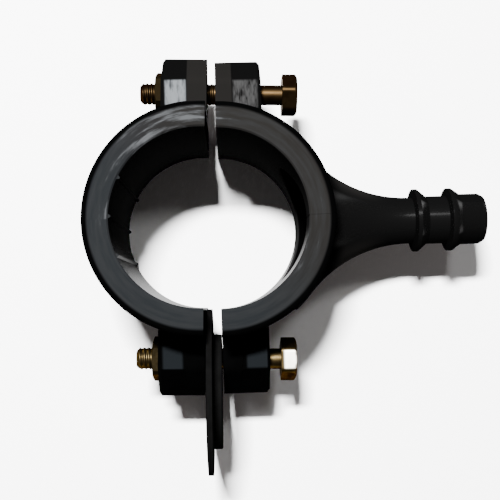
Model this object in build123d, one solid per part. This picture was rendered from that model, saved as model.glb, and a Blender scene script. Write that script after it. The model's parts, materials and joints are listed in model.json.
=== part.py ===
"""Tapping saddle for a 48.3 mm pipe, with a barbed outlet for a 16 mm hose.

Two moulded halves close round the pipe.  The outlet half carries the flared hose barb, and
the strap half goes round the back.  Two hex bolts pass through lugs at the sides and screw
into nuts held in hex pockets of the strap half.  The flanged rubber seal, which belongs in the
recess round the outlet hole, hangs on the lower bolt between the lugs and keeps them apart.

The origin is the centre of the outlet half's bore at mid-length.  +Z runs along the pipe,
+X out through the barb and +Y towards the upper bolt.  All sizes are in millimetres.
"""
import os
from math import cos, radians, sin, sqrt, tan

from build123d import *

# Pipe and ring
PIPE_D = 48.3
WALL = 7.4
LENGTH = 50.0
RIM_ROUND = 1.8
RIM_FACETS = 3
BORE_CHAMFER = 0.4
STRAP_OVER = 1.2  # how far the strap half runs on past its own diameter
LINE_WIDTH = 0.3  # the mould's closing line on the outlet half, opposite the split
LINE_DEPTH = 0.12

# Lugs: a tapered ear beside the split, and a pointed boss behind it
LUG_LENGTH = 13.2
HEAD_CLEARANCE = 0.84  # between the ring and a bolt head's corner
LUG_FLAT = 2.4  # from the bolt's axis to where the flat top turns down
OUTLET_POINT = 9.9  # from the bolt's axis to a lug's pointed end
STRAP_POINT = 10.6
EAR_HALF_HEIGHT = 9.0
EAR_TIP_THICKNESS = 4.6
EAR_ROOT_THICKNESS = 6.6
EAR_ROUND = 3.5
BOSS_HALF_HEIGHT = 8.4
BOSS_CHAMFER = 0.8

# Quarter-inch bolts and nuts
BOLT_D = 6.35
BOLT_LENGTH = 41.6
BOLT_POINT = 0.9
HEX_FLATS = 11.1
HEAD_HEIGHT = 4.4
NUT_HEIGHT = 5.6
THREAD_PLAY = 0.03
HOLE_PLAY = 0.28
TILTED_HOLE_PLAY = 0.63  # the outlet half lies at an angle to its bolts
POCKET_PLAY = 0.12
NUT_STANDS_OUT = 1.9
UPPER_TIP_OUT = 4.5  # beyond the nut
LOWER_TIP_OUT = 4.7
UPPER_HEX_TURN = 26.0
LOWER_HEX_TURN = 0.0
SPREAD_ANGLE = 2.0  # between the two split faces

# Grip ribs along the strap half's bore
RIB_COUNT = 3
RIB_SPACING = 25.5
RIB_WIDTH = 2.0
RIB_HEIGHT = 0.7

# Hose barb, a turned form along X
OUTLET_BORE_D = 10.0
WAIST_D = 13.5
BARB_ROOT_D = 14.0
BARB_TIP_D = 14.8
BARB_PEAK_D = 18.4
PEAK_LAND = 1.1
BARB_SLOPE_LENGTH = 2.6
BARB_STEEP_LENGTH = 0.5
BARB_PITCH = 10.0
BARB_COUNT = 2
FLARE_LENGTH = 23.85  # from the ring to where the flare has narrowed to the waist
WAIST_LENGTH = 1.0
TIP_LENGTH = 6.7  # beyond the last barb
TIP_TAPER_LENGTH = 1.3
TIP_TAPER_DROP = 0.7
SHOULDER_RISE = 1.75  # how far the flare's rounded root stands out of the ring
SHOULDER_ANGLE = 49.0  # either side of +X
SHOULDER_FADE_ANGLE = 5.0

# Flanged rubber seal
FLANGE_D = 47.6
FLANGE_THICKNESS = 2.0
FLANGE_RIM_THICKNESS = 1.5
FLANGE_STEPS = 3
SEAL_BAND = 10.6  # from the seal's hole to its rim
COLLAR_BAND = 3.2  # from the seal's hole to the collar's outside
COLLAR_THICKNESS = 2.5
COLLAR_CHAMFER = 0.3
SEAL_PLAY = 0.2
RECESS_PLAY = 0.2
SEAL_TO_BOLT = 0.82  # keeps the hanging seal's rim just clear of the pipe

BORE_R = PIPE_D / 2
OUTER_R = BORE_R + WALL
HALF_LENGTH = LENGTH / 2
BOLT_OFFSET = OUTER_R + HEX_FLATS / sqrt(3) + HEAD_CLEARANCE  # from the pipe's axis to each bolt's
SHOULDER_R = OUTER_R + SHOULDER_RISE
FLARE_END_X = OUTER_R + FLARE_LENGTH
FIRST_BARB_X = FLARE_END_X + WAIST_LENGTH
BARB_LENGTH = BARB_STEEP_LENGTH + PEAK_LAND + BARB_SLOPE_LENGTH
BARB_END_X = FIRST_BARB_X + (BARB_COUNT - 1) * BARB_PITCH + BARB_LENGTH + TIP_LENGTH
SEAL_THICKNESS = FLANGE_THICKNESS + COLLAR_THICKNESS
SEAL_HOLE_D = FLANGE_D - 2 * SEAL_BAND
COLLAR_D = SEAL_HOLE_D + 2 * COLLAR_BAND
SEAL_Y = -(BOLT_OFFSET - BOLT_D / 2 - SEAL_TO_BOLT + SEAL_HOLE_D / 2)
SEAL_Z = FLANGE_D / 2 - HALF_LENGTH  # it stands on its rim, level with the end face
SPREAD = radians(SPREAD_ANGLE)

# The seal sets the gap between the split faces: it fits where its collar comes nearest the ring.
collar_near_y = SEAL_Y + COLLAR_D / 2
gap_at_collar = SEAL_THICKNESS + 2 * SEAL_PLAY
GAP_AT_AXIS = gap_at_collar + collar_near_y * tan(SPREAD)
STRAP_X = -(GAP_AT_AXIS + STRAP_OVER / cos(SPREAD))
STRAP_Y = (LUG_LENGTH / 2 - STRAP_X) * tan(SPREAD)
STRAP_PLACE = Location((STRAP_X, STRAP_Y, 0), (0, 0, -SPREAD_ANGLE))

NUT_FACE = STRAP_OVER - LUG_LENGTH - NUT_STANDS_OUT  # the nuts' outer face, in the strap's frame


def facing_x(x):
    """A sketch plane across the X axis, with its own x along Y and its own y along Z."""
    return Plane(origin=(x, 0, 0), x_dir=(0, 1, 0), z_dir=(1, 0, 0))


def wall_section():
    """The ring's section in the XZ plane: a small bevel at the bore, rims rounded in facets."""
    upper = [(BORE_R, HALF_LENGTH - BORE_CHAMFER), (BORE_R + BORE_CHAMFER, HALF_LENGTH)]
    for step in range(RIM_FACETS + 1):
        angle = radians(90 * step / RIM_FACETS)
        out = OUTER_R - RIM_ROUND * (1 - sin(angle))
        up = HALF_LENGTH - RIM_ROUND * (1 - cos(angle))
        upper.append((out, up))
    lower = [(out, -up) for out, up in reversed(upper)]
    return Plane.XZ * Polygon(*upper, *lower, align=None)


def half_ring(direction, over):
    """Half of the ring on one side of its split, with straight ends that run on past it."""
    upright = wall_section()
    arc = revolve(upright, Axis.Z, 180)
    arc = Rot(0, 0, -90 if direction > 0 else 90) * arc
    if over > 0:
        for turn in (90, -90):
            end = Rot(0, 0, turn) * upright
            arc += extrude(end, over, dir=(-direction, 0, 0))
    return arc


def lug_profile(side, half_height, point):
    """A lug seen along X: flat above and below, and pointed at its free end."""
    root_y = side * (BORE_R + WALL / 2)
    flat_y = side * (BOLT_OFFSET + LUG_FLAT)
    return Polygon(
        (root_y, -half_height),
        (flat_y, -half_height),
        (side * (BOLT_OFFSET + point), 0),
        (flat_y, half_height),
        (root_y, half_height),
        align=None,
    )


def lug(direction, side, split_x, point):
    """An ear and its boss, on the upper (side 1) or lower (side -1) edge of a half."""
    root_y = side * (BORE_R + WALL / 2)
    end_y = side * (BOLT_OFFSET + point)
    taper = Polygon(
        (split_x, root_y),
        (split_x, end_y),
        (split_x + direction * EAR_TIP_THICKNESS, end_y),
        (split_x + direction * EAR_ROOT_THICKNESS, root_y),
        align=None,
    )
    profile = lug_profile(side, EAR_HALF_HEIGHT, point)
    free_corners = profile.vertices().sort_by(Axis.X)
    free_corners = free_corners[2:] if side > 0 else free_corners[:3]
    profile = fillet(free_corners, EAR_ROUND)
    ear = extrude(facing_x(split_x) * profile, EAR_ROOT_THICKNESS, dir=(direction, 0, 0))
    ear &= extrude(taper, EAR_HALF_HEIGHT, both=True)
    profile = lug_profile(side, BOSS_HALF_HEIGHT, point)
    boss = extrude(facing_x(split_x) * profile, LUG_LENGTH, dir=(direction, 0, 0))
    outer_face = boss.faces().sort_by(Axis.X)[-1 if direction > 0 else 0]
    return ear + chamfer(outer_face.edges(), BOSS_CHAMFER)


def pipe_hole():
    """The pipe's own space, longer than the ring."""
    return Cylinder(BORE_R, 2 * LENGTH)


def turned_outlet():
    """The flare, the barbs and the hose end as one outline, turned round X.

    The outline rises out of the ring onto a shoulder concentric with it and swings off that, on
    an arc that is tangent to the shoulder and to the waist: for a waist radius w at x = e and a
    shoulder radius s, the arc's radius is (e^2 + w^2 - s^2) / (2 (s - w)).
    """
    waist_r = WAIST_D / 2
    tip_r = BARB_TIP_D / 2
    peak_r = BARB_PEAK_D / 2
    flare_r = (FLARE_END_X**2 + waist_r**2 - SHOULDER_R**2) / (2 * (SHOULDER_R - waist_r))
    share = SHOULDER_R / (SHOULDER_R + flare_r)
    leave = (share * FLARE_END_X, share * (waist_r + flare_r))
    fade = radians(SHOULDER_ANGLE + SHOULDER_FADE_ANGLE)
    foot = (OUTER_R * cos(fade), OUTER_R * sin(fade))
    first = (SHOULDER_R * cos(radians(SHOULDER_ANGLE)), SHOULDER_R * sin(radians(SHOULDER_ANGLE)))
    points = [(FLARE_END_X, waist_r)]
    radius = waist_r
    for number in range(BARB_COUNT):
        start = FIRST_BARB_X + number * BARB_PITCH
        top = start + BARB_STEEP_LENGTH
        after = tip_r if number == BARB_COUNT - 1 else BARB_ROOT_D / 2
        points.append((start, radius))
        points.append((top, peak_r))
        points.append((top + PEAK_LAND, peak_r))
        points.append((start + BARB_LENGTH, after))
        radius = after
    points.append((BARB_END_X - TIP_TAPER_LENGTH, tip_r))
    points.append((BARB_END_X, tip_r - TIP_TAPER_DROP))
    with BuildSketch(Plane.XY) as half:
        with BuildLine():
            RadiusArc(first, leave, SHOULDER_R)
            RadiusArc(leave, points[0], -flare_r)
            Polyline(*points, (BARB_END_X, 0), (foot[0], 0), foot, first)
        make_face()
    return revolve(half.sketch, Axis.X)


def bolt_hole(side, play):
    """A round hole through a lug, along X."""
    radius = BOLT_D / 2 + play
    return Pos(0, side * BOLT_OFFSET, 0) * (Rot(0, 90, 0) * Cylinder(radius, 4 * LUG_LENGTH))


def closing_line():
    """The mould's closing line: a fine nick in the XZ plane, over both end faces and the bore."""
    rim_x = OUTER_R - RIM_ROUND
    inner_x = BORE_R + LINE_DEPTH
    inner_z = HALF_LENGTH - LINE_DEPTH
    frame = Pos(rim_x / 2, 0) * Rectangle(rim_x, 2 * LENGTH)
    frame -= Pos((rim_x + inner_x) / 2, 0) * Rectangle(rim_x - inner_x, 2 * inner_z)
    return extrude(Plane.XZ * frame, LINE_WIDTH / 2, both=True)


def outlet_half():
    """The half that the hose goes on, with its seal recess and through bore."""
    body = half_ring(1, 0)
    for side in (1, -1):
        body += lug(1, side, 0, OUTLET_POINT)
        body -= bolt_hole(side, TILTED_HOLE_PLAY)
    body += turned_outlet()
    body -= pipe_hole()
    recess_floor = BORE_R + COLLAR_THICKNESS
    recess = extrude(facing_x(0) * Circle(COLLAR_D / 2 + RECESS_PLAY), recess_floor)
    body -= recess
    body -= closing_line()
    return body - extrude(facing_x(0) * Circle(OUTLET_BORE_D / 2), 2 * BARB_END_X)


def grip_ribs():
    """Low ribs along the strap half's bore, about its far side."""
    tooth = Trapezoid(RIB_WIDTH, 2 * RIB_HEIGHT, 60)
    rib = extrude(tooth, HALF_LENGTH - BORE_CHAMFER, both=True)
    ribs = []
    for number in range(RIB_COUNT):
        angle = 180 + (number - (RIB_COUNT - 1) / 2) * RIB_SPACING
        ribs.append(Rot(0, 0, angle) * (Pos(BORE_R, 0, 0) * (Rot(0, 0, 90) * rib)))
    return ribs


def strap_half():
    """The plain half, with hex pockets for the nuts and grip ribs in its bore."""
    body = half_ring(-1, STRAP_OVER)
    for side in (1, -1):
        body += lug(-1, side, STRAP_OVER, STRAP_POINT)
        body -= bolt_hole(side, HOLE_PLAY)
        pocket = Pos(side * BOLT_OFFSET, 0) * hexagon(HEX_FLATS + 2 * POCKET_PLAY)
        depth = NUT_HEIGHT - NUT_STANDS_OUT
        body -= extrude(facing_x(STRAP_OVER - LUG_LENGTH) * pocket, depth, dir=(1, 0, 0))
        body -= extrude(facing_x(STRAP_OVER - LUG_LENGTH) * pocket, depth, dir=(-1, 0, 0))
    for rib in grip_ribs():
        body += rib
    return body


def hexagon(across_flats):
    """A hexagon with two corners on its own x axis."""
    return RegularPolygon(across_flats / sqrt(3), 6)


def rounded_hex(height, both_ends):
    """A hex prism from z = 0 up, its corners turned off at the top or at both ends."""
    prism = extrude(hexagon(HEX_FLATS), height)
    corner_r = HEX_FLATS / sqrt(3)
    drop = (corner_r - HEX_FLATS / 2) * tan(radians(30))
    cone_r = HEX_FLATS / 2 * 0.96
    steps = [(0, 0), (corner_r, 0), (corner_r, height - drop), (cone_r, height), (0, height)]
    if both_ends:
        steps[1:2] = [(cone_r, 0), (corner_r, drop)]
    outline = Plane.XZ * Polygon(*steps, align=None)
    return prism & revolve(outline, Axis.Z)


def bolt(side, tip_out, hex_turn):
    """A hex bolt along X, its head on the outlet side and its tip beyond the nut."""
    tip = NUT_FACE - tip_out
    shank = Cylinder(BOLT_D / 2, BOLT_LENGTH, align=(Align.CENTER, Align.CENTER, Align.MIN))
    shank = chamfer(shank.edges().group_by(Axis.Z)[0], BOLT_POINT)
    head = Pos(0, 0, BOLT_LENGTH) * (Rot(0, 0, hex_turn) * rounded_hex(HEAD_HEIGHT, False))
    along_x = Plane(origin=(tip, side * BOLT_OFFSET, 0), x_dir=(0, 1, 0), z_dir=(1, 0, 0))
    return along_x * (shank + head)


def nut(side):
    """A hex nut in its pocket, with a smooth hole that stands for its thread."""
    blank = rounded_hex(NUT_HEIGHT, True)
    blank -= Cylinder(BOLT_D / 2 + THREAD_PLAY, 4 * NUT_HEIGHT)
    along_x = Plane(origin=(NUT_FACE, side * BOLT_OFFSET, 0), x_dir=(0, 1, 0), z_dir=(1, 0, 0))
    return along_x * blank


def seal():
    """The flanged rubber seal, hung on the lower bolt between the two lower lugs.

    Its flange thins towards the rim: x = rim + (full - rim) (1 - t^2), t from collar to rim.
    """
    hole_r = SEAL_HOLE_D / 2
    collar_r = COLLAR_D / 2
    rim_r = FLANGE_D / 2
    rim_back = COLLAR_THICKNESS + (FLANGE_THICKNESS - FLANGE_RIM_THICKNESS) / 3
    rim_front = rim_back + FLANGE_RIM_THICKNESS
    outline = [
        (SEAL_THICKNESS, hole_r),
        (COLLAR_CHAMFER, hole_r),
        (0, hole_r + COLLAR_CHAMFER),
        (0, collar_r - COLLAR_CHAMFER),
        (COLLAR_CHAMFER, collar_r),
        (COLLAR_THICKNESS, collar_r),
        (rim_back, rim_r),
    ]
    for step in range(FLANGE_STEPS, -1, -1):
        t = step / FLANGE_STEPS
        x = rim_front + (SEAL_THICKNESS - rim_front) * (1 - t**2)
        outline.append((x, collar_r + (rim_r - collar_r) * t))
    ring = revolve(Polygon(*outline, align=None), Axis.X)
    ring = Rot(0, 0, 180) * (Pos(-SEAL_THICKNESS / 2, 0, 0) * ring)
    middle_x = -(GAP_AT_AXIS - SEAL_Y * tan(SPREAD)) / 2
    return Location((middle_x, SEAL_Y, SEAL_Z), (0, 0, -SPREAD_ANGLE / 2)) * ring


def build_nodes():
    """Every piece by its node name, in its place."""
    return {
        "outlet_half": outlet_half(),
        "strap_half": STRAP_PLACE * strap_half(),
        "upper_bolt": STRAP_PLACE * bolt(1, UPPER_TIP_OUT, UPPER_HEX_TURN),
        "lower_bolt": STRAP_PLACE * bolt(-1, LOWER_TIP_OUT, LOWER_HEX_TURN),
        "upper_nut": STRAP_PLACE * nut(1),
        "lower_nut": STRAP_PLACE * nut(-1),
        "outlet_seal": seal(),
    }


os.makedirs("parts", exist_ok=True)
for name, shape in build_nodes().items():
    export_step(shape, f"parts/{name}.step")
    print(name, "volume", round(shape.volume), "mm3")
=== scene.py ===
# %% [markdown]
# # A tapping saddle
# Two black moulded halves close round a pipe. Two hex bolts draw them together, and a hose
# goes on the barbed outlet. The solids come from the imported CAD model. This lesson dresses
# them: it gives the plastic its grain and scuffs, puts real threads on the bolts, and sets
# the light and the camera.

import json
import math

import bpy
import numpy as np
from mathutils import Matrix, Vector


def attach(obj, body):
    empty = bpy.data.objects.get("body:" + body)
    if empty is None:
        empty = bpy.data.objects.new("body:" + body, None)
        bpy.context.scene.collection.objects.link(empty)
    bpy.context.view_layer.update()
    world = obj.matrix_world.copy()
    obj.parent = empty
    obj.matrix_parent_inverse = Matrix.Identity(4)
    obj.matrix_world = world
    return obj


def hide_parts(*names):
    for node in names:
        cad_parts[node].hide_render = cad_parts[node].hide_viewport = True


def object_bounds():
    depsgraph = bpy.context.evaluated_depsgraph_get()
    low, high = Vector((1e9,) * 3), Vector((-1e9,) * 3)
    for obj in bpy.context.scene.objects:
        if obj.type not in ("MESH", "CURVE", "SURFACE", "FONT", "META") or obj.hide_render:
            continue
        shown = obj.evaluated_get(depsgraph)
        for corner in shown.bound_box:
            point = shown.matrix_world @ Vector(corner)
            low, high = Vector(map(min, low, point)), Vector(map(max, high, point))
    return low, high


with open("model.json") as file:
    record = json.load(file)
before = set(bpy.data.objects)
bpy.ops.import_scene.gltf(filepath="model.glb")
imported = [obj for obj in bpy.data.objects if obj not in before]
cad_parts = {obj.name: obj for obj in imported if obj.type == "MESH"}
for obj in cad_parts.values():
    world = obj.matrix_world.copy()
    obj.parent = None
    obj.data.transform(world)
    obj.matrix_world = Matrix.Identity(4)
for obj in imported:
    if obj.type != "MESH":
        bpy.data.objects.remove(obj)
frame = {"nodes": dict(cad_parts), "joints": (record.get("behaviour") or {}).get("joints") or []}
cad_low, cad_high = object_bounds()
MM = 0.001
print("CAD box, mm:", [round(v / MM, 1) for v in (*cad_low, *cad_high)])

# %% [markdown]
# ## The camera
# The saddle stands on one end face, and the camera hangs over it, almost straight above the
# bore. A long lens from a quarter of a metre keeps the ring nearly round while the inside of
# the bore still shows. The camera's frame is built from two directions: the one that it looks
# along and the one that is up in the picture.

# %% Hang the camera over the bore
CAMERA_PLACE = Vector((2.0, -23.3, 249.5)) * MM
LOOK_ALONG = Vector((0.027, 0.0641, -0.9976)).normalized()
PICTURE_UP = Vector((0.0303, 0.9974, 0.0649))
LENS_MM = 61.5
SENSOR_MM = 36
NEAREST_SEEN = 0.01

camera_right = LOOK_ALONG.cross(PICTURE_UP).normalized()
camera_up = camera_right.cross(LOOK_ALONG)
camera_turn = Matrix((camera_right, camera_up, -LOOK_ALONG)).transposed()
camera_data = bpy.data.cameras.new("overhead")
camera_data.lens = LENS_MM
camera_data.sensor_width = SENSOR_MM
camera_data.clip_start = NEAREST_SEEN
camera = bpy.data.objects.new("overhead", camera_data)
camera.matrix_world = Matrix.Translation(CAMERA_PLACE) @ camera_turn.to_4x4()
bpy.context.scene.collection.objects.link(camera)
bpy.context.scene.camera = camera
print("camera", round(CAMERA_PLACE.z - cad_high.z, 3), "m above the upper end face")

# %% [markdown]
# ## Light and floor
# A tube lamp hangs above, on the side of the upper bolt, and lies parallel to the outlet. The
# shadows fall towards the lower lugs. Their edges are sharp where they run along the lamp and
# soft where they run across it. The rest is a dim, warm room and a white floor. A second lamp,
# small and weak, only draws a line of light along the hose tail.

# %% Hang the two lamps
LAMP_PLACE = Vector((-100, 255, 700)) * MM
LAMP_LENGTH = 0.13
LAMP_WIDTH = 0.05
LAMP_POWER = 60.0
GLINT_PLACE = Vector((215, 281, 696)) * MM
GLINT_SIZE = 0.11
GLINT_POWER = 1.0


def hang_lamp(name, place, shape, size, power):
    """An area light, tilted about X alone until it faces the line y = 0, z = 0."""
    light = bpy.data.lights.new(name, "AREA")
    light.shape = shape
    light.size = size
    light.energy = power
    holder = bpy.data.objects.new(name, light)
    holder.location = place
    holder.rotation_euler = (-math.atan2(place.y, place.z), 0, 0)
    bpy.context.scene.collection.objects.link(holder)
    return light


tube = hang_lamp("lamp", LAMP_PLACE, "RECTANGLE", LAMP_LENGTH, LAMP_POWER)
tube.size_y = LAMP_WIDTH
hang_lamp("glint", GLINT_PLACE, "DISK", GLINT_SIZE, GLINT_POWER)
print("tube lamp", round(LAMP_PLACE.length, 2), "m from the bore's centre")

# %% Set the room and the floor
ROOM_COLOUR = (1.0, 0.92, 0.90, 1)
ROOM_STRENGTH = 0.125
FLOOR_REACH = 4.0

room = bpy.data.worlds.new("room")
room.use_nodes = True
room_light = room.node_tree.nodes["Background"]
room_light.inputs["Color"].default_value = ROOM_COLOUR
room_light.inputs["Strength"].default_value = ROOM_STRENGTH
bpy.context.scene.world = room

corners = np.array([(-1, -1), (1, -1), (1, 1), (-1, 1)]) * FLOOR_REACH
floor_points = np.column_stack([corners, np.full(4, cad_low.z)])
floor_mesh = bpy.data.meshes.new("floor")
floor_mesh.from_pydata(floor_points.tolist(), [], [(0, 1, 2, 3)])
floor = bpy.data.objects.new("floor", floor_mesh)
bpy.context.scene.collection.objects.link(floor)
print("floor at", round(cad_low.z / MM, 2), "mm")

# %% [markdown]
# ## Shader maths as plain expressions
# Finishes here are formulas over position, such as a mask that rises towards an edge. Writing
# them as Python expressions keeps them short. One small class wraps an output socket, and its
# operators add Math nodes. Every other node comes from one method, which takes the node's
# type, its settings and its inputs. Positions along the part are given in millimetres.


# %% A value in a material, and the material that holds it
class Value:
    """An output socket. Sums and products of values add Math nodes to the material."""

    def __init__(self, finish, socket):
        self.finish = finish
        self.socket = socket

    def __add__(self, other):
        return self.finish.maths("ADD", self, other)

    __radd__ = __add__

    def __mul__(self, other):
        return self.finish.maths("MULTIPLY", self, other)

    __rmul__ = __mul__

    def __sub__(self, other):
        return self.finish.maths("SUBTRACT", self, other)

    def __rsub__(self, other):
        return self.finish.maths("SUBTRACT", other, self)

    def __truediv__(self, other):
        return self.finish.maths("DIVIDE", self, other)


class Finish:
    """A material, the one method that adds any node to it, and the patterns made with it."""

    def __init__(self, name):
        self.material = bpy.data.materials.new(name)
        self.material.use_nodes = True
        self.tree = self.material.node_tree
        self.tree.nodes.clear()
        self.place = self.node("ShaderNodeTexCoord", output="Object")
        self.x, self.y, self.z = (
            self.node("ShaderNodeSeparateXYZ", inputs={0: self.place}, output=axis)
            for axis in "XYZ"
        )

    def node(self, kind, settings=None, inputs=None, output=0):
        """Any node: its settings first, then each input as a value or a link."""
        made = self.tree.nodes.new(kind)
        for key, value in (settings or {}).items():
            setattr(made, key, value)
        for key, value in (inputs or {}).items():
            if isinstance(value, Value):
                self.tree.links.new(value.socket, made.inputs[key])
            else:
                made.inputs[key].default_value = value
        return Value(self, made.outputs[output]) if made.outputs else made

    def maths(self, operation, *values):
        inputs = dict(enumerate(values))
        return self.node("ShaderNodeMath", {"operation": operation}, inputs)

    def rise(self, value, start, end):
        """0 before the start, 1 past the end, smooth between; the end may be the lower one."""
        settings = {"interpolation_type": "SMOOTHSTEP"}
        inputs = {"Value": value, "From Min": start, "From Max": end}
        return self.node("ShaderNodeMapRange", settings, inputs)

    def rise_mm(self, value, start, end):
        """The same over a length, whose start and end are in millimetres."""
        return self.rise(value, start * MM, end * MM)

    def patch(self, x_span, y_span, soft):
        """1 over a rectangle of x and y, falling to 0 over this width around it, all in mm."""
        mask = 1.0
        for value, (low, high) in ((self.x, x_span), (self.y, y_span)):
            mask = self.rise(value, low * MM - soft * MM, low * MM) * mask
            mask = self.rise(value, high * MM + soft * MM, high * MM) * mask
        return mask

    def vector(self, x, y, z):
        return self.node("ShaderNodeCombineXYZ", inputs={0: x, 1: y, 2: z})

    def noise(self, size, place=None, detail=3.0, rough=0.55):
        """Fractal noise whose blobs are about this size, in the units of the place."""
        inputs = {"Vector": place or self.place, "Scale": 1 / size}
        inputs.update({"Detail": detail, "Roughness": rough})
        return self.node("ShaderNodeTexNoise", inputs=inputs, output="Fac")

    def blend(self, share, first, second):
        """A colour that goes from the first to the second as the share goes from 0 to 1."""
        inputs = {"Factor": share, 6: first, 7: second}
        return self.node("ShaderNodeMix", {"data_type": "RGBA"}, inputs, output=2)

    def coats(self, colour, *layers):
        """The colour under layers of a mask and a colour each, painted on in this order."""
        for mask, paint in layers:
            colour = self.blend(mask, colour, paint)
        return colour

    def bump(self, height, distance, strength):
        inputs = {"Height": height, "Distance": distance, "Strength": strength}
        return self.node("ShaderNodeBump", inputs=inputs)

    def surface(self, **sockets):
        """The one shader; underscores in the names stand for spaces."""
        inputs = {key.replace("_", " "): value for key, value in sockets.items()}
        shader = self.node("ShaderNodeBsdfPrincipled", inputs=inputs)
        self.node("ShaderNodeOutputMaterial", inputs={"Surface": shader})
        return self.material


def grey(level, warm=0.0):
    """A grey of this level; warm above 0 is browner, below 0 bluer."""
    return (level * (1 + warm), level, level * (1 - warm), 1)


print("finishes can be written as expressions")

# %% [markdown]
# ## Smooth rounds, crisp edges
# The CAD nodes arrive as loose triangles with flat shading. A small geometry-nodes modifier
# welds them and shades smoothly over every edge that is nearly flat, and leaves the real
# edges crisp. The mesh itself is never touched, so the solid stays exact.

# %% One modifier for every hard piece
CRISP_DEGREES = 38
WELD_DISTANCE = 2e-6


def smoothing_group(limit_degrees):
    """Weld, then shade smooth except over edges sharper than the limit."""
    group = bpy.data.node_groups.new(f"smooth_below_{limit_degrees}", "GeometryNodeTree")
    for direction in ("INPUT", "OUTPUT"):
        group.interface.new_socket(
            "Geometry", in_out=direction, socket_type="NodeSocketGeometry"
        )
    add, link = group.nodes.new, group.links.new
    start, end = add("NodeGroupInput"), add("NodeGroupOutput")
    plain = add("GeometryNodeRemoveAttribute")
    plain.inputs["Name"].default_value = "custom_normal"
    weld = add("GeometryNodeMergeByDistance")
    weld.inputs["Distance"].default_value = WELD_DISTANCE
    faces = add("GeometryNodeSetShadeSmooth")
    faces.domain = "FACE"
    angle = add("GeometryNodeInputMeshEdgeAngle")
    below = add("FunctionNodeCompare")
    below.operation = "LESS_THAN"
    below.inputs["B"].default_value = math.radians(limit_degrees)
    edges = add("GeometryNodeSetShadeSmooth")
    edges.domain = "EDGE"
    link(start.outputs[0], plain.inputs["Geometry"])
    link(plain.outputs[0], weld.inputs["Geometry"])
    link(weld.outputs[0], faces.inputs["Geometry"])
    link(faces.outputs[0], edges.inputs["Geometry"])
    link(angle.outputs["Unsigned Angle"], below.inputs["A"])
    link(below.outputs["Result"], edges.inputs["Shade Smooth"])
    link(edges.outputs[0], end.inputs[0])
    return group


smooth_below = smoothing_group(CRISP_DEGREES)


def dress(piece, finish):
    """Give a piece its finish and the smoothing modifier."""
    if not piece.material_slots:
        piece.data.materials.append(finish)
    for slot in piece.material_slots:
        slot.material = finish
    piece.modifiers.new("smoothing", "NODES").node_group = smooth_below


print("edges below", CRISP_DEGREES, "degrees will look round")

# %% [markdown]
# ## The moulded plastic
# The halves are black polypropylene with a satin skin. One formula over position serves both
# of them. The strap half stands off the other one, so each half measures the ring's radius
# and angle from its own centre.

# %% Find where a point lies on its own half
STRAP_CENTRE = (-5.0 * MM, 0.4 * MM)
SPLIT = (-1.0, -1.5)  # along X, from the outlet half to the strap half

plastic = Finish("black_plastic")
height = plastic.maths("ABSOLUTE", plastic.z)
on_strap = plastic.rise_mm(plastic.x, *SPLIT)
own_x = plastic.x - STRAP_CENTRE[0] * on_strap
own_y = plastic.y - STRAP_CENTRE[1] * on_strap
ring_r = plastic.maths("SQRT", own_x * own_x + own_y * own_y)
ring_turn = plastic.maths("ARCTAN2", own_y, own_x)
print("strap half's centre, mm:", [round(v / MM, 1) for v in STRAP_CENTRE])

# %% [markdown]
# ## End faces: painted sheen and scuffs
# The end faces are painted greyer than the sides, partly rubbed plastic and partly a painted
# sheen of their satin skin, with streaks and pale marks that run round the ring. The pale marks
# are partly scuffs and partly painted highlights, where the lamp reflects. Both come from noise
# in polar coordinates, long round the ring and narrow across it. A painted map would need a
# layout of its own for each half, and a formula fits both. A pale mark shows where the noise is
# high, and it needs less noise near the split at the upper bolt, on the strap's side of it, and
# at the bore's edge beside the outlet.

# %% Paint sheen on the end faces and streak them
END_FACE_HEIGHTS = (24.45, 24.7)  # from the rounded rim up to the flat
END_FACE_RADII = (30.2, 29.3)  # from the rounded rim inwards
STREAK_WIDTH = 1.5  # mm
MM_PER_RADIAN = 3.0  # far less than on the real ring, which draws the streaks out
MOTTLE_SIZE = 1.1 * MM
# painted sheen: these greys stand partly for the satin end faces' sheen under the lamp, partly
# for rubbed plastic
COOL_FACE_SHEEN = grey(0.0047, -0.10)
WARM_FACE_SHEEN = grey(0.0042, 0.06)
STREAK_SHEEN = grey(0.0072, -0.04)

end_face = plastic.rise_mm(height, *END_FACE_HEIGHTS)
end_face = end_face * plastic.rise_mm(ring_r, *END_FACE_RADII)
along_ring = plastic.vector(ring_r / MM, ring_turn * MM_PER_RADIAN, 0.0)
streaks = plastic.noise(STREAK_WIDTH, along_ring, detail=6, rough=0.62)
mottle = plastic.noise(MOTTLE_SIZE, detail=5, rough=0.7)
towards_outlet = plastic.rise_mm(plastic.x + plastic.y, -20, 25)
# painted sheen with streaks: the end faces' grey is partly a painted sheen, partly rubbed
# plastic
face_grey_and_sheen = plastic.coats(
    plastic.blend(towards_outlet, COOL_FACE_SHEEN, WARM_FACE_SHEEN),
    (plastic.rise(streaks, 0.35, 0.65) * 0.5, STREAK_SHEEN),
)
rim_depth = round(cad_high.z / MM - END_FACE_HEIGHTS[0], 2)
print("the flat of the end face starts", rim_depth, "mm below the top")

# %% Scuff them, and paint highlights where the lamp reflects
SCUFF_AND_HIGHLIGHT_NOISE = (0.66, 0.86)  # the noise at which a scuff starts and is full
BORE_SCUFF_AND_HIGHLIGHT_TURN = 0.35  # radians below the outlet's line

near_split = plastic.rise_mm(plastic.y, 18, 30) * plastic.rise_mm(plastic.x, 10, -2)
inner_band = plastic.rise_mm(ring_r, 28.5, 25.5)
upper_left = plastic.rise_mm(plastic.y - plastic.x, 26, 38)
beside_outlet = plastic.rise(
    plastic.maths("COSINE", ring_turn + BORE_SCUFF_AND_HIGHLIGHT_TURN), 0.80, 0.97
)
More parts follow.
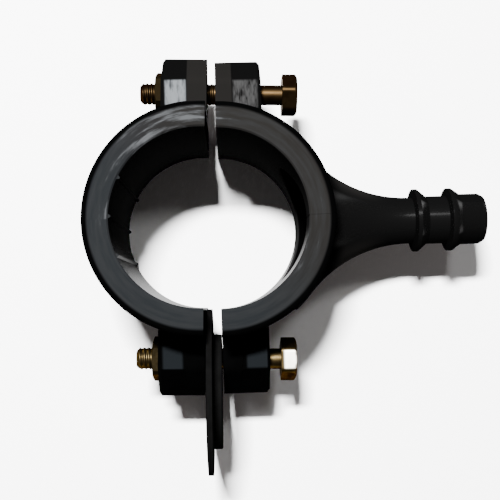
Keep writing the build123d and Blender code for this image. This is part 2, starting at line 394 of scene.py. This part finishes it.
# painted highlight: these places lift the noise where the lamp's reflection lies on the end
# faces; the rest of the pale marks are scuffs
scuff_and_highlight_bias = (
    0.17 * near_split
    + 0.13 * upper_left * inner_band
    + 0.05 * upper_left
    + 0.12 * (beside_outlet * inner_band)
)
# pale marks: partly scuffs, partly painted highlights of the lamp
scuffs_and_highlights = plastic.rise(streaks + scuff_and_highlight_bias, *SCUFF_AND_HIGHLIGHT_NOISE) * end_face
print("scuffs start at a noise of", SCUFF_AND_HIGHLIGHT_NOISE[0])

# %% [markdown]
# ## Bosses, ears and outlet
# The bosses' flat tops carry painted highlights, broken up by a grain that runs towards the
# ring. The lamp's reflection is painted nearly white on the upper left one and grey on the
# upper right one, and the lower two are painted a cool dark grey where their flat tops catch the
# light. The upper ears beside the split are painted a lighter grey where they catch the light.
# Each of these is a soft patch, placed in the plan view and kept to the right height. The upper
# lugs as a whole, on the lamp's side, are painted a little lighter too.

# %% Mark the lugs' tops and ears
LUG_TOP_HEIGHTS = (8.0, 8.3)  # from the lugs' slopes up to their flat tops
LUG_TOP_ENDS = (10, 9.5)  # above this there is only the ring
UPPER_LUGS_START = (31, 31.6)
GRAIN_SIZE = 3.0
GRAIN_ACROSS = 3.0  # mm count three times along X, so the grain is fine there
GRAIN_ALONG = 0.7  # and fewer along Y, so it is long

grain_x = plastic.x / MM * GRAIN_ACROSS
grain_y = plastic.y / MM * GRAIN_ALONG
lug_grain = plastic.noise(GRAIN_SIZE, plastic.vector(grain_x, grain_y, 0.0))
lug_top = plastic.rise_mm(height, *LUG_TOP_HEIGHTS) * plastic.rise_mm(height, *LUG_TOP_ENDS)
# painted highlights: the lamp's reflection on the upper bosses' flat tops, white on the left and
# grey on the right
white_lamp_highlight = plastic.patch((-14.0, -8.8), (34.8, 41.2), 0.7) * lug_top
grey_lamp_highlight = plastic.patch((5.6, 11.6), (33.0, 40.6), 0.9) * lug_top
# painted light: the lower bosses' flat tops are painted a cool grey where they catch the light
lit_lower_left = plastic.patch((-16.4, -11.8), (-40.2, -34.5), 0.9)
lit_lower_right = plastic.patch((7.2, 12.2), (-40.4, -35.5), 0.9)
lit_lower_tops = (lit_lower_left + lit_lower_right) * lug_top
# painted light: the upper lugs, on the lamp's side, and the upper ears are painted lighter where
# they catch the light
lit_upper_lugs = plastic.rise_mm(plastic.y, *UPPER_LUGS_START)
lit_ears = plastic.patch((-8.0, 4.6), (31.6, 52), 0.2)
print("lug tops lie between", LUG_TOP_HEIGHTS[1], "and", LUG_TOP_ENDS[1], "mm up")

# %% Mark the outlet, the bore and the outer wall
BORE_RADII = (24.9, 24.5)  # from inside the wall to the bore's face
OUTER_WALL_RADII = (31.2, 31.4)  # from inside the wall to its outer face
OUTER_WALL_ENDS = (32.6, 32.0)  # beyond this the lugs and the flare begin
OUTER_WALL_HEIGHTS = (23.4, 22.4)  # above this the rim is rounded

across = plastic.maths("SQRT", plastic.y * plastic.y + plastic.z * plastic.z)
facing_up = plastic.z / across  # 1 on the outlet's upper line, 0 at its sides
outlet = plastic.rise_mm(plastic.x, 31, 36)
# painted sheen: the flare's sides near the ring are painted a lighter grey
painted_flare_sheen = outlet * plastic.rise_mm(plastic.x, 50, 38) * plastic.rise(facing_up, 0.9, 0.5)
# in_bore also carries a painted reflection: the bore's wall is painted a lighter grey, partly
# for the white floor it reflects
in_bore = plastic.rise_mm(ring_r, *BORE_RADII)
low_bore = in_bore * plastic.rise_mm(own_y, -2, -18)
outer_wall = plastic.rise_mm(ring_r, *OUTER_WALL_RADII)
outer_wall = outer_wall * plastic.rise_mm(ring_r, *OUTER_WALL_ENDS)
outer_wall = outer_wall * plastic.rise_mm(height, *OUTER_WALL_HEIGHTS)
print("masks use", len(plastic.tree.nodes), "nodes")

# %% [markdown]
# ## One skin over both halves
# The greys go on like coats of paint, from the widest area to the smallest mark. The plastic
# itself has no mirror shine, because a grazing reflection would turn black sides grey. A thin
# clear coat gives the shine only where the moulding kept it: along the outlet's upper side,
# and much weaker low in the bore and on the outer wall.

# %% Paint the plastic and dress the halves
PATCH_SIZE = 6 * MM
COAT_ON_LOW_BORE = 0.20
COAT_ON_OUTER_WALL = 0.25

patches = plastic.noise(PATCH_SIZE, detail=2)
side_grey = plastic.coats(
    plastic.blend(patches, grey(0.0002), grey(0.0005, -0.05)),
    # painted light on the upper lugs, the ears and the lower bosses' tops
    (lit_upper_lugs, grey(0.0009)),
    (lit_ears, grey(0.0030, 0.06)),
    (lit_lower_tops, grey(0.0032, -0.15)),
    (outlet, grey(0.0011)),
    # painted sheen on the flare's sides
    (painted_flare_sheen, grey(0.0034, 0.05)),
    # the bore's wall grey, partly a painted reflection of the floor
    (in_bore, grey(0.0045)),
    (outer_wall, grey(0.0016)),
)
skin = plastic.coats(
    side_grey,
    (end_face, face_grey_and_sheen),
    # scuffs and painted highlights on the end faces
    (scuffs_and_highlights * 0.45, grey(0.045, -0.05)),
    # painted highlights on the upper bosses' tops, broken up by the grain
    (grey_lamp_highlight * plastic.rise(lug_grain, 0.30, 0.62), grey(0.014)),
    (white_lamp_highlight * plastic.rise(lug_grain, 0.15, 0.58), grey(0.056, -0.06)),
)
moulded_gloss = outlet * plastic.rise(facing_up, 0.80, 0.95)
plastic_skin = plastic.surface(
    Base_Color=skin,
    Roughness=0.46 + 0.16 * mottle,
    Normal=plastic.bump(mottle, 0.05 * MM, 0.3),
    Specular_IOR_Level=0.0,
    Coat_Weight=moulded_gloss + COAT_ON_LOW_BORE * low_bore + COAT_ON_OUTER_WALL * outer_wall,
    Coat_IOR=1.15,
    Coat_Roughness=0.2,
)
for half in ("outlet_half", "strap_half"):
    dress(frame["nodes"][half], plastic_skin)
    print("plastic on", half)

# %% [markdown]
# ## The rubber seal
# The seal is soft black rubber: blacker than the plastic, a little smoother, with no clear
# coat, and with a dusty bloom in patches.

# %% Dress the seal in black rubber
DUST_SIZE = 5 * MM
RUBBER_GRAIN = 0.5 * MM

rubber = Finish("black_rubber")
dust = rubber.noise(DUST_SIZE, detail=5)
rubber_skin = rubber.surface(
    Base_Color=rubber.blend(dust, grey(0.0006), grey(0.0022)),
    Specular_IOR_Level=0.0,
    Roughness=0.38 + 0.2 * dust,
    Normal=rubber.bump(rubber.noise(RUBBER_GRAIN, detail=4), 0.04 * MM, 0.3),
)
dress(frame["nodes"]["outlet_seal"], rubber_skin)
print("rubber on the seal")

# %% [markdown]
# ## Yellow zinc
# The bolts and nuts are steel with a yellow passivated zinc coat. Its colour drifts from
# straw to brown, and the plate is a little cloudy, so roughness and colour follow the same
# noise. The upper bolt is browner. The nuts are rougher on top and painted darker there, a
# painted shade that holds back the lamp's reflection, and one flat of the lower head is painted
# near white, a painted highlight of the lamp.

# %% Dress the nuts in yellow passivated zinc
CLOUD_SIZE = 2.2 * MM
SPECK_SIZE = 0.35 * MM
STRAW = (0.040, 0.029, 0.013, 1)
BROWN = (0.016, 0.011, 0.0045, 1)
UPPER_BROWN = (0.013, 0.008, 0.0035, 1)
NUT_TOP_SHADE = (0.005, 0.0038, 0.0018, 1)
HIGHLIGHT_STEEL = (0.80, 0.77, 0.68, 1)
PLATE_TINT = (0.22, 0.16, 0.09, 1)  # of the reflections at grazing angles
HIGHLIGHT_HEIGHTS = (5.3, 5.45)  # just under the lower head's top flat

zinc = Finish("yellow_zinc")
cloud = zinc.noise(CLOUD_SIZE, detail=4, rough=0.6)
speck = zinc.noise(SPECK_SIZE, detail=3)
upper = zinc.rise_mm(zinc.y, -5, 5)
# painted shade: the nuts' tops are painted darker brown, besides being rougher, to hold back the
# lamp's reflection
nut_tops = zinc.rise_mm(zinc.x, -12, -13) * zinc.rise_mm(zinc.z, 3.3, 3.7)
# painted highlight: the lamp's reflection, painted near white on one top flat of the lower head
painted_head_highlight = zinc.patch((17.9, 20.4), (-41.2, -37.1), 0.8) * zinc.rise_mm(zinc.z, *HIGHLIGHT_HEIGHTS)
plate = zinc.coats(
    zinc.blend(zinc.rise(cloud, 0.35, 0.68), STRAW, BROWN),
    (upper, UPPER_BROWN),
    (0.85 * nut_tops, NUT_TOP_SHADE),
    (painted_head_highlight, HIGHLIGHT_STEEL),
)
zinc_skin = zinc.surface(
    Base_Color=plate,
    Metallic=1.0,
    Roughness=0.30 + 0.20 * cloud + 0.40 * nut_tops,
    Normal=zinc.bump(speck, 0.03 * MM, 0.3),
    Specular_Tint=PLATE_TINT,
)
for nut in ("upper_nut", "lower_nut"):
    dress(frame["nodes"][nut], zinc_skin)
    print("zinc on", nut)

# %% [markdown]
# ## Threaded bolts
# In the solids a bolt is smooth, because a thread has hundreds of small faces. Here each bolt
# is one surface worked out on a grid: one parameter goes from the tip along the bolt to the
# top of the head, the other goes round it. The radius is a formula of both. Near the tip it
# is a thread, whose groove moves along by one pitch per turn, and further on a plain shank.
# On the head it is a hexagon with rounded corners and a chamfered top. The sizes are measured
# on the CAD bolt, so the threaded one always fits its place.

# %% Measure each CAD bolt along its own axis
BOLTS = ("upper_bolt", "lower_bolt")
HEAD_STARTS = 1.3  # a point further out than this share of the shank's radius is on the head

joint_of = {joint["child"]: joint for joint in frame["joints"]}


def bolt_frame(name):
    """The bolt's centre and three directions: towards the head, across it, and up."""
    joint = joint_of[name]
    towards_head = -np.array(joint["axis"], float)
    towards_head /= np.linalg.norm(towards_head)
    up = np.array([0.0, 0.0, 1.0])
    return np.array(joint["pos_m"], float), towards_head, np.cross(up, towards_head), up


def measured_bolt(name):
    """Tip, head and radii of the CAD bolt, and the angle of its head's first corner."""
    centre, along, across, up = bolt_frame(name)
    mesh = frame["nodes"][name].data
    points = np.zeros(len(mesh.vertices) * 3, np.float32)
    mesh.vertices.foreach_get("co", points)
    points = points.reshape(-1, 3) - centre
    run, side, height = points @ along, points @ across, points @ up
    radius = np.hypot(side, height)
    corner = np.argmax(radius)
    shank_r = np.median(radius[run < np.median(run)])
    return {
        "tip": run.min(),
        "head": run[radius > HEAD_STARTS * shank_r].min(),
        "top": run.max(),
        "shank_r": shank_r,
        "corner_r": radius[corner],
        "corner_turn": math.atan2(height[corner], side[corner]),
    }


for name in BOLTS:
    sizes = measured_bolt(name)
    print(name, {key: round(float(value), 5) for key, value in sizes.items()})

# %% Give the radius at every point of the shank
PITCH = 1.27 * MM
THREAD_DEPTH = 0.32 * MM
THREAD_LENGTH = 22 * MM
PLAIN_SHARE = 0.93  # a rolled thread stands proud of the plain shank
POINT_LENGTH = 0.9 * MM


def thread_radius(run, turn, size):
    """Shank radius less a cosine groove, which moves one pitch along the bolt for each turn.

    Beyond the thread's length it fades, over one pitch, to the plain shank's radius. At the
    tip it loses as much radius as the point is short of the point's full length.
    """
    phase = (run / PITCH - turn / (2 * np.pi)) % 1
    groove = 0.5 - 0.5 * np.cos(2 * np.pi * phase)
    from_tip = run - size["tip"]
    threaded = np.clip((THREAD_LENGTH - from_tip) / PITCH, 0, 1)
    plain_r = PLAIN_SHARE * size["shank_r"]
    thread_r = size["shank_r"] - THREAD_DEPTH * groove
    pointed = size["shank_r"] - np.clip(POINT_LENGTH - from_tip, 0, POINT_LENGTH)
    return np.minimum(plain_r + (thread_r - plain_r) * threaded, pointed)


print("thread of", round(THREAD_LENGTH / PITCH, 1), "turns")

# %% Give the radius at every point of the head
SIXTH = np.pi / 3
CORNER_SHARE = 0.965  # the hexagon's corners are rounded to this share of their radius
CHAMFER_SHARE = 0.96  # the chamfer's inner circle, as a share of the flats' radius
CHAMFER_DEGREES = 30  # between the chamfer and the head's top


def head_radius(down, turn, size):
    """The flats' radius over the cosine of the angle from the nearest flat, cut twice.

    A round cuts the corners, and near the top a cone does, which widens with the depth.
    """
    flat_r = size["corner_r"] * math.cos(SIXTH / 2)
    from_flat = (turn - size["corner_turn"]) % SIXTH - SIXTH / 2
    hexagon = np.minimum(flat_r / np.cos(from_flat), CORNER_SHARE * size["corner_r"])
    cone = CHAMFER_SHARE * flat_r + down / math.tan(math.radians(CHAMFER_DEGREES))
    return np.minimum(hexagon, cone)


print("head chamfered at", CHAMFER_DEGREES, "degrees")

# %% Put the bolt's points on one grid
ROWS_PER_PITCH = 10
ROUND_STEPS = 96
HEAD_ROWS = (1, 0.97, 0.75, 0.5, 0.3, 0.22, 0.16, 0.1, 0.05, 0)  # depths, closer at the top


def bolt_surface(name):
    """Rows of points from the tip to the head's top; each row is one trip round the bolt."""
    size = measured_bolt(name)
    turn = size["corner_turn"] + np.arange(ROUND_STEPS) * 2 * np.pi / ROUND_STEPS
    shank_rows = int((size["head"] - size["tip"]) / PITCH * ROWS_PER_PITCH)
    shank = np.linspace(size["tip"], size["head"], shank_rows)
    run, shank_turns = np.meshgrid(shank, turn, indexing="ij")
    drop = (size["top"] - size["head"]) * np.array(HEAD_ROWS)
    down, head_turns = np.meshgrid(drop, turn, indexing="ij")
    pole = np.zeros((1, ROUND_STEPS))
    shank_r = thread_radius(run, shank_turns, size)
    head_r = head_radius(down, head_turns, size)
    radius = np.vstack([pole, shank_r, head_r, pole])
    middle = np.concatenate([[size["tip"]], shank, size["top"] - drop, [size["top"]]])
    centre, along, across, up = bolt_frame(name)
    sides = np.cos(turn)[:, None] * across + np.sin(turn)[:, None] * up
    return centre + middle[:, None, None] * along + radius[:, :, None] * sides[None]


print("upper bolt's grid:", bolt_surface("upper_bolt").shape[:2])


# %% Turn a grid into a closed mesh
def tube_mesh(name, points):
    """A mesh of quads over rows of points that each close round; the end rows are poles."""
    rows, steps = points.shape[:2]
    inner = points[1:-1].reshape(-1, 3)
    vertices = np.vstack([inner, points[0, :1], points[-1, :1]])
    row, step = np.meshgrid(np.arange(rows - 3), np.arange(steps), indexing="ij")
    here, beside = row * steps + step, row * steps + (step + 1) % steps
    quads = np.stack([here, here + steps, beside + steps, beside], axis=-1).reshape(-1, 4)
    step = np.arange(steps)
    after = (step + 1) % steps
    first_pole = len(vertices) - 2
    last_row = (rows - 3) * steps
    tip = np.column_stack([np.full(steps, first_pole), step, after])
    top = np.column_stack([np.full(steps, first_pole + 1), last_row + after, last_row + step])
    mesh = bpy.data.meshes.new(name)
    mesh.from_pydata(vertices.tolist(), [], quads.tolist() + tip.tolist() + top.tolist())
    mesh.update()
    return mesh


print("grids can be closed into meshes")

# %% Put the threaded bolts in place
for name in BOLTS:
    threaded = bpy.data.objects.new(f"threaded_{name}", tube_mesh(name, bolt_surface(name)))
    bpy.context.scene.collection.objects.link(threaded)
    dress(threaded, zinc_skin)
    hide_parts(name)
    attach(threaded, name)
    print(threaded.name, len(threaded.data.polygons), "faces")

# %% [markdown]
# ## The floor's paint, and the end
# The floor is plain matt white.

# %% Paint the floor
paper = Finish("floor_white")
floor.data.materials.append(paper.surface(Base_Color=grey(0.9), Roughness=0.9))
print("white floor")
